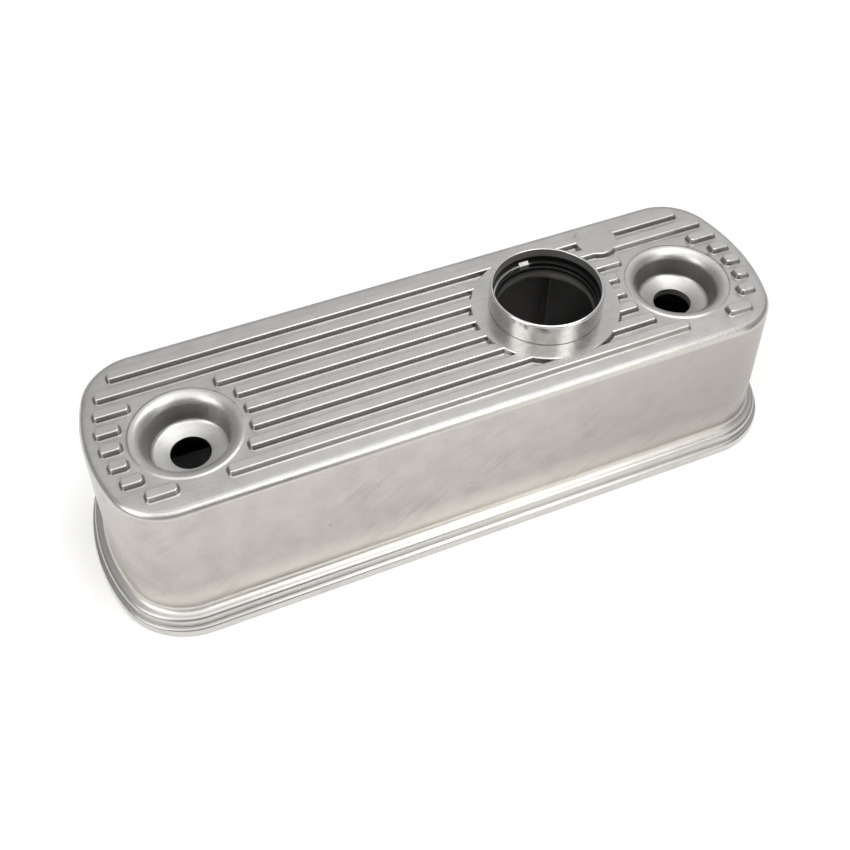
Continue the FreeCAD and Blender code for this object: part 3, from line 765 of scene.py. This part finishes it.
def cast_patterns(nodes):
    """Masks and noises that the casting's colour, roughness and relief share."""
    place, wear = nodes.millimetres(), nodes.wear()
    normal = nodes.add("ShaderNodeNewGeometry").outputs["Normal"]
    facing = nodes.add("ShaderNodeSeparateXYZ", {0: normal})
    split = nodes.add("ShaderNodeSeparateXYZ", {0: place})
    height, along = split.outputs["Z"], split.outputs["X"]
    upright = nodes.remap(nodes.maths("ABSOLUTE", facing.outputs["Z"]), 0.2, 0.6, 1.0, 0.0)
    below_deck = nodes.remap(height, DECK - 3.0, DECK - 1.0, 1.0, 0.0)
    upright = nodes.maths("MULTIPLY", upright, below_deck)
    upright = nodes.maths("MULTIPLY", upright, nodes.remap(wear, 0.2, 0.35))

    blotches = nodes.noise(place, 0.035, 4.0, 0.6)
    clouds = nodes.noise(place, 0.11, 3.0, 0.55)
    grain = nodes.noise(place, 0.9, 2.0, 0.6)
    brushed = nodes.noise(nodes.stretched(place, (0, 0, 0), (0.05, 1.4, 1.4)), 1.0, 3.0, 0.6)
    smears = nodes.noise(nodes.stretched(place, SCRATCH_TILT, (0.03, 0.2, 0.35)), 1.0, 4.0, 0.6)
    streaks = nodes.noise(nodes.stretched(place, SCRATCH_TILT, (0.05, 0.5, 1.6)), 1.0, 3.0, 0.7)
    smear_mask = nodes.maths("MULTIPLY", upright, nodes.remap(blotches, 0.42, 0.62))
    smear = nodes.maths("MULTIPLY", smear_mask, nodes.remap(smears, 0.5, 0.72))
    streak = nodes.maths("MULTIPLY", smear_mask, nodes.remap(streaks, 0.56, 0.75))

    pit_inputs = {"Vector": place, "Scale": 0.075, "Randomness": 1.0}
    cells = nodes.add("ShaderNodeTexVoronoi", pit_inputs).outputs["Distance"]
    pit_field = nodes.maths("ADD", cells, nodes.remap(grain, 0.2, 0.8, 0.0, 0.03))
    neck_top = {0: place, 1: (NECK_X, NECK_Y, TOP)}
    from_neck = nodes.add("ShaderNodeVectorMath", neck_top, operation="DISTANCE")
    # the inside mask carries the painted shade inside the cover
    return SimpleNamespace(
        wear=wear, height=height, along=along, upright=upright, blotches=blotches,
        clouds=clouds, grain=grain, brushed=brushed, smear=smear, streak=streak,
        pits=nodes.remap(pit_field, 0.025, 0.05, 1.0, 0.0),
        inside=nodes.remap(wear, -0.2, -0.8), from_neck=from_neck.outputs["Value"])


def cast_colour(nodes, on):
    """Deck, wall and flange colours with painted shade and reflections, then smears, rubbed edges
    with painted highlights, painted shade, pits and the cavity's painted shade.
    """
    cloudy = nodes.remap(on.clouds, 0.3, 0.7)
    base = nodes.mix(cloudy, CAST_DARK, CAST_LIGHT)
    base = nodes.mix(nodes.remap(on.brushed, 0.45, 0.75, 0.0, 0.3), base, CAST_BRUSHED)
    wall = nodes.mix(cloudy, WALL_DARK, WALL_LIGHT)
    # painted shade: the wall darkens towards the right end
    wall = nodes.mix(nodes.remap(on.along, 0.0, 150.0, 0.0, 0.9), wall, WALL_END_SHADE)
    colour = nodes.mix(on.upright, base, wall)

    # painted reflection: a lighter band at the wall's foot, strongest at the left and in the middle
    foot_reflection = nodes.remap(on.height, FLANGE_TOP + 16, FLANGE_TOP + 2, 0.0, 0.85)
    foot_reflection = nodes.maths("MULTIPLY", foot_reflection, nodes.remap(on.along, 130.0, 20.0, 0.3, 1.0))
    above_flange = nodes.remap(on.height, FLANGE_TOP - 0.5, FLANGE_TOP + 0.5)
    colour = nodes.mix(nodes.maths("MULTIPLY", foot_reflection, above_flange), colour, WALL_FOOT_REFLECTION)
    # painted highlight in the middle of the flange, painted shade at its ends, lighter upright
    # faces
    ends_shade = nodes.remap(nodes.maths("ABSOLUTE", on.along), 30.0, 110.0)
    painted_flange = nodes.mix(ends_shade, FLANGE_MIDDLE_LIT, FLANGE_ENDS_SHADED)
    painted_flange = nodes.mix(on.upright, painted_flange, FLANGE_SIDE_LIT)
    low = nodes.remap(on.height, FLANGE_TOP + 0.5, FLANGE_TOP - 0.5, 0.0, 0.8)
    colour = nodes.mix(low, colour, painted_flange)

    colour = nodes.mix(nodes.maths("MULTIPLY", on.smear, 0.5), colour, SMEARED)
    colour = nodes.mix(nodes.maths("MULTIPLY", on.streak, 0.4), colour, STREAKED)
    # rubbed edges, and a painted highlight on the wells' rims
    colour = nodes.mix(nodes.remap(on.wear, 0.5, 1.0, 0.0, 0.7), colour, CAST_RUBBED_AND_HIGHLIGHT)
    # painted shade on the ribs' sides and feet, in the wells and on the front margin
    colour = nodes.mix(nodes.remap(on.wear, 0.3, 0.0, 0.0, 0.75), colour, CAST_SHADE)
    colour = nodes.mix(nodes.maths("MULTIPLY", on.pits, 0.8), colour, PITTED)
    # painted shade inside the cover, darker away from the neck
    cavity_shade = nodes.mix(nodes.remap(on.from_neck, 110.0, 70.0), CAVITY_SHADE_FAR, CAVITY_SHADE_NEAR)
    return nodes.mix(on.inside, colour, cavity_shade)


def cast_roughness(nodes, on):
    rough = nodes.remap(on.blotches, 0.3, 0.7, 0.30, 0.40)
    rough = nodes.maths("ADD", rough, nodes.remap(on.grain, 0.3, 0.7, -0.03, 0.03))
    rough = nodes.maths("SUBTRACT", rough, nodes.remap(on.wear, 0.5, 1.0, 0.0, 0.10))
    rough = nodes.maths("ADD", rough, nodes.maths("MULTIPLY", on.smear, 0.08))
    rough = nodes.maths("ADD", rough, nodes.maths("MULTIPLY", on.inside, 0.3))
    polished = nodes.remap(on.from_neck, PAD_RADIUS + 3, PAD_RADIUS - 3)
    return nodes.maths("SUBTRACT", rough, nodes.maths("MULTIPLY", polished, 0.12))


def cast_relief(nodes, on):
    fine = nodes.remap(on.wear, 0.42, 0.6, 0.006, 0.002)
    relief = nodes.maths("MULTIPLY", on.grain, fine)
    relief = nodes.maths("ADD", relief, nodes.maths("MULTIPLY", on.clouds, 0.10))
    relief = nodes.maths("SUBTRACT", relief, nodes.maths("MULTIPLY", on.pits, 0.12))
    return nodes.maths("SUBTRACT", relief, nodes.maths("MULTIPLY", on.streak, 0.01))


def cast_material():
    """Satin cast aluminium: blasted grain, smears on the walls, pits, bright rubbed edges, painted
    shade and painted highlights.
    """
    nodes = Nodes("cast_aluminium")
    on = cast_patterns(nodes)
    return nodes.metal(cast_colour(nodes, on), cast_roughness(nodes, on), cast_relief(nodes, on))


def turned_material():
    """Bright turned aluminium with rings left by the tool, painted shade in the bore and a painted
    highlight on the ledge.
    """
    nodes = Nodes("turned_aluminium")
    place, wear = nodes.millimetres(), nodes.wear()
    axis = {0: place, 1: (NECK_X, NECK_Y, 0)}
    centred = nodes.add("ShaderNodeVectorMath", axis, operation="SUBTRACT").outputs[0]
    split = nodes.add("ShaderNodeSeparateXYZ", {0: centred})
    squares = [nodes.maths("POWER", split.outputs[name], 2.0) for name in "XY"]
    radius = nodes.maths("SQRT", nodes.maths("ADD", *squares))
    section = nodes.add("ShaderNodeCombineXYZ", {0: radius, 2: split.outputs["Z"]}).outputs[0]
    rings = nodes.noise(section, 2.2, 4.0, 0.75)
    fine = nodes.noise(section, 7.0, 2.0, 0.6)
    clouds = nodes.noise(place, 0.12, 3.0, 0.6)

    colour = nodes.mix(nodes.remap(clouds, 0.3, 0.7), TURNED_DARK, TURNED_LIGHT)
    colour = nodes.mix(nodes.remap(rings, 0.55, 0.8, 0.0, 0.35), colour, TURNED_RINGS)
    # painted highlight on the ledge's edge, then painted shade in the bore, throat and ledge
    colour = nodes.mix(nodes.remap(wear, 0.6, 1.0), colour, TURNED_GLEAM)
    colour = nodes.mix(nodes.remap(wear, -0.2, -0.8), colour, TURNED_SHADE)
    rough = nodes.remap(rings, 0.3, 0.7, 0.13, 0.22)
    rough = nodes.maths("ADD", rough, nodes.remap(wear, 0.3, 0.1, 0.0, 0.3))
    relief = nodes.maths("MULTIPLY", rings, 0.02)
    relief = nodes.maths("ADD", relief, nodes.maths("MULTIPLY", fine, 0.006))
    return nodes.metal(colour, rough, relief)


def floor_material():
    nodes = Nodes("pale_floor")
    place = nodes.millimetres()
    tone = nodes.noise(place, 0.004, 3.0, 0.5)
    colour = nodes.mix(tone, FLOOR_DARK, FLOOR_LIGHT)
    nodes.join(colour, nodes.shader.inputs["Base Color"])
    nodes.shader.inputs["Roughness"].default_value = 0.85
    return nodes.material


# ---------------------------------------------------------------- stage, light and camera

# in metres: half the floor's side, then each light's name, place, target, size, watts and colour
FLOOR_HALF = 3.0
LIGHTS = [
    ("overhead", (0.50, -0.50, 1.5), (0.50, -0.50, 0.0), (0.7, 2.1), 12.2, (1, 1, 1)),
    ("overhead_left", (-0.40, -0.50, 1.5), (-0.40, -0.50, 0.0), (1.1, 2.1), 8.6, (1, 1, 1)),
    ("front", (0.48, -0.84, 0.50), (0.48, 0.0, 0.50), (0.56, 0.96), 1.6, (1.0, 0.97, 0.88)),
    ("left", (-1.05, -0.35, 0.85), (0.0, -0.35, 0.4), (0.8, 0.9), 5.6, (1, 1, 1)),
]
# the room's brightest direction, and (position, brightness) stops from facing away to facing it
ROOM_BRIGHTEST = (0.40, 0.52, 0.75)
ROOM_LEVELS = [(0.10, 0.38), (0.50, 0.33), (0.80, 0.43), (0.92, 0.60), (0.98, 0.82)]
CAMERA_MM = (-129.44, -292.73, 406.06)
CAMERA_AZIMUTH, CAMERA_ELEVATION, CAMERA_ROLL = (math.radians(a) for a in (-22.93, 50.52, 0.143))
CAMERA_LENS, CAMERA_SENSOR = 48.37, 36


def make_floor():
    build = bmesh.new()
    bmesh.ops.create_grid(build, x_segments=8, y_segments=8, size=FLOOR_HALF)
    mesh = bpy.data.meshes.new("floor")
    build.to_mesh(mesh)
    build.free()
    mesh.materials.append(floor_material())
    floor = bpy.data.objects.new("floor", mesh)
    floor.location.z = cad_low[2]
    bpy.context.scene.collection.objects.link(floor)


def add_area_light(name, location, target, size, energy, colour):
    light = bpy.data.lights.new(name, "AREA")
    light.shape = "RECTANGLE"
    light.size, light.size_y = size
    light.energy = energy
    light.color = colour
    lamp = bpy.data.objects.new(name, light)
    lamp.location = location
    lamp.rotation_mode = "QUATERNION"
    lamp.rotation_quaternion = (Vector(target) - Vector(location)).to_track_quat("-Z", "Y")
    bpy.context.scene.collection.objects.link(lamp)


def light_world():
    """Soft room: brightest behind and above, dim low down in front of the object."""
    world = bpy.data.worlds.new("studio")
    bpy.context.scene.world = world
    world.use_nodes = True
    tree = world.node_tree
    background = tree.nodes["Background"]
    place = tree.nodes.new("ShaderNodeTexCoord")
    towards = tree.nodes.new("ShaderNodeVectorMath")
    towards.operation = "DOT_PRODUCT"
    towards.inputs[1].default_value = Vector(ROOM_BRIGHTEST).normalized()
    tree.links.new(place.outputs["Generated"], towards.inputs[0])
    level = tree.nodes.new("ShaderNodeMapRange")
    level.inputs["From Min"].default_value = -1.0
    tree.links.new(towards.outputs["Value"], level.inputs["Value"])
    ramp = tree.nodes.new("ShaderNodeValToRGB")
    tree.links.new(level.outputs[0], ramp.inputs[0])
    elements = ramp.color_ramp.elements
    while len(elements) < len(ROOM_LEVELS):
        elements.new(0.5)
    for element, (position, brightness) in zip(elements, ROOM_LEVELS):
        element.position = position
        element.color = (brightness, brightness, brightness, 1)
    tree.links.new(ramp.outputs[0], background.inputs["Color"])
    background.inputs["Strength"].default_value = 1.0


def make_camera():
    camera = bpy.data.objects.new("camera", bpy.data.cameras.new("camera"))
    camera.data.sensor_width = CAMERA_SENSOR
    camera.data.lens = CAMERA_LENS
    camera.data.clip_start, camera.data.clip_end = 0.01, 20
    level = math.cos(CAMERA_ELEVATION)
    forward = Vector((-math.sin(CAMERA_AZIMUTH) * level, math.cos(CAMERA_AZIMUTH) * level,
                      -math.sin(CAMERA_ELEVATION)))
    turned_level = Matrix.Rotation(CAMERA_ROLL, 3, "Z").to_quaternion()
    camera.rotation_mode = "QUATERNION"
    camera.rotation_quaternion = forward.to_track_quat("-Z", "Y") @ turned_level
    camera.location = Vector(CAMERA_MM) * MM
    bpy.context.scene.collection.objects.link(camera)
    bpy.context.scene.camera = camera


make_camera()
make_floor()
light_world()
for light in LIGHTS:
    add_area_light(*light)
bpy.context.scene.view_settings.view_transform = "Standard"

cast = cast_material()
turned = turned_material()
pieces = [
    (make_casting(cast), "cover_casting", "cast_aluminium"),
    (make_neck(turned), "filler_neck", "turned_aluminium"),
    (make_stops(turned), "bayonet_stops", "turned_aluminium"),
]
for piece, node, slot in pieces:
    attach(piece, "root")
    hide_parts(node)
